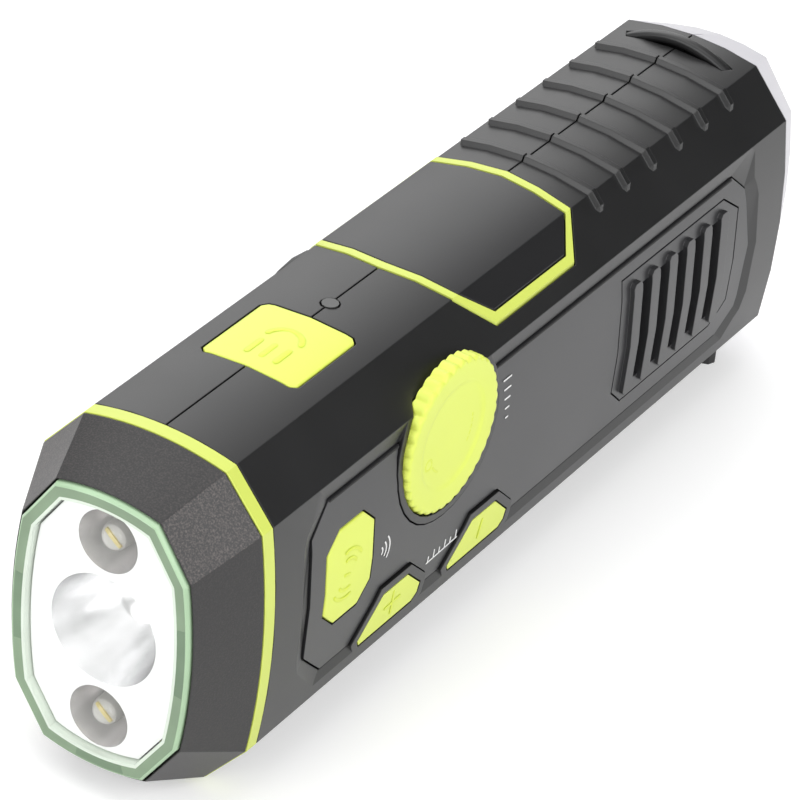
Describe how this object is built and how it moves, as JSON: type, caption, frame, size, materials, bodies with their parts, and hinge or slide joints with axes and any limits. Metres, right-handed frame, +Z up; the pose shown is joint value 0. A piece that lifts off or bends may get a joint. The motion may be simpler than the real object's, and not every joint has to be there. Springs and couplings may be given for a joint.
{
  "type": "hand crank flashlight",
  "caption": "Eight-sided crank torch with radio dial, siren and tuning buttons, speaker grille, saddle panel, ribbed grip, tail diffuser and fold-out crank handle.",
  "frame": {"origin": "centre of the bounding box, on the ground under the feet", "axes": "+Y from the lens to the tail lamp, +Z up through the light button, +X towards the radio dial"},
  "size_m": [0.0494, 0.198, 0.0656],
  "materials": {
    "case_black": "fine matt",
    "bezel_black": "sandy texture",
    "panel_grey": "satin",
    "lime": "satin",
    "clear": "clear, green tint",
    "white": "gloss",
    "tail_white": "satin, translucent",
    "board": "satin",
    "steel": "bright",
    "brass": "bright",
    "nylon": "matt",
    "dark_grey": "matt",
    "rubber": "matt",
    "cell": "gloss"
  },
  "bodies": {
    "case": {"battery": "cell", "case_screw_1": "steel", "case_screw_2": "steel", "case_screw_3": "steel", "case_screw_4": "steel", "charge_light": "clear", "charging_socket": "steel", "control_panel": "panel_grey", "crank_bush": "brass", "dynamo_stator": "brass", "front_bezel": "bezel_black", "front_led_board": "board", "front_lens": "clear", "front_ring": "lime", "gear_axle_1": "steel", "gear_axle_2": "steel", "gear_plate": "dark_grey", "gear_plate_screw_1": "steel", "gear_plate_screw_2": "steel", "gear_plate_screw_3": "steel", "left_shell": "case_black", "light_switch": "case_black", "light_switch_board": "board", "lower_led": "clear", "main_board": "board", "main_led": "clear", "rear_diffuser": "tail_white", "rear_led_board": "board", "rear_led_lower": "clear", "rear_led_upper": "clear", "reflector": "white", "right_shell": "case_black", "siren_switch": "case_black", "socket_board": "board", "speaker": "dark_grey", "speaker_grille": "panel_grey", "top_panel": "panel_grey", "top_panel_trim": "lime", "tuning_down_switch": "case_black", "tuning_up_switch": "case_black", "upper_led": "clear", "volume_control": "dark_grey"},
    "crank": {"crank_arm": "case_black", "crank_shaft": "steel", "crank_screw": "steel", "hub_cap": "panel_grey", "drive_gear": "nylon", "handle_pin": "steel"},
    "handle": {"handle_stem": "steel"},
    "grip": {"crank_grip": "case_black"},
    "gear_1": {"compound_gear_1": "nylon"},
    "gear_2": {"compound_gear_2": "nylon"},
    "rotor": {"dynamo_rotor": "dark_grey"},
    "light_button": {"light_button": "lime"},
    "siren_button": {"siren_button": "lime"},
    "tuning_up_button": {"tuning_up_button": "lime"},
    "tuning_down_button": {"tuning_down_button": "lime"},
    "dial": {"radio_dial": "lime"},
    "cover": {"socket_cover": "rubber"}
  },
  "joints": [
    {"name": "crank_spin", "type": "hinge", "parent": "case", "child": "crank", "pos_m": [-0.01815, -0.0065, 0.032], "axis": [1, 0, 0], "continuous": true},
    {"name": "handle_fold", "type": "hinge", "parent": "crank", "child": "handle", "pos_m": [-0.02155, 0.0395, 0.032], "axis": [0, 0, -1], "range_deg": [0, 90]},
    {"name": "grip_spin", "type": "hinge", "parent": "handle", "child": "grip", "pos_m": [-0.02155, 0.0235, 0.032], "axis": [0, 1, 0], "continuous": true},
    {"name": "gear_1_spin", "type": "hinge", "parent": "case", "child": "gear_1", "pos_m": [-0.01365, 0.0138, 0.02461], "axis": [1, 0, 0], "continuous": true},
    {"name": "gear_2_spin", "type": "hinge", "parent": "case", "child": "gear_2", "pos_m": [-0.01065, 0.02875, 0.03159], "axis": [1, 0, 0], "continuous": true},
    {"name": "rotor_spin", "type": "hinge", "parent": "case", "child": "rotor", "pos_m": [-0.00665, 0.04173, 0.0309], "axis": [1, 0, 0], "continuous": true},
    {"name": "light_button_press", "type": "slide", "parent": "case", "child": "light_button", "axis": [0, 0, -1], "range_m": [0, 0.001], "stiffness_N_per_m": 800, "springref_m": -0.0005},
    {"name": "siren_button_press", "type": "slide", "parent": "case", "child": "siren_button", "axis": [-1, 0, 0], "range_m": [0, 0.0008], "stiffness_N_per_m": 800, "springref_m": -0.0005},
    {"name": "tuning_up_press", "type": "slide", "parent": "case", "child": "tuning_up_button", "axis": [-1, 0, 0], "range_m": [0, 0.0008], "stiffness_N_per_m": 800, "springref_m": -0.0005},
    {"name": "tuning_down_press", "type": "slide", "parent": "case", "child": "tuning_down_button", "axis": [-1, 0, 0], "range_m": [0, 0.0008], "stiffness_N_per_m": 800, "springref_m": -0.0005},
    {"name": "radio_dial_turn", "type": "hinge", "parent": "case", "child": "dial", "pos_m": [0.02135, -0.0303, 0.0442], "axis": [1, 0, 0], "range_deg": [0, 270]},
    {"name": "socket_cover_open", "type": "hinge", "parent": "case", "child": "cover", "pos_m": [-0.02045, 0.0715, 0.032], "axis": [0, 0, -1], "range_deg": [0, 90], "stiffness_Nm_per_rad": 0.002}
  ],
  "couplings": [
    {"joint": "gear_1_spin", "follows": "crank_spin", "ratio": -3},
    {"joint": "gear_2_spin", "follows": "crank_spin", "ratio": 8},
    {"joint": "rotor_spin", "follows": "crank_spin", "ratio": -18.667}
  ]
}
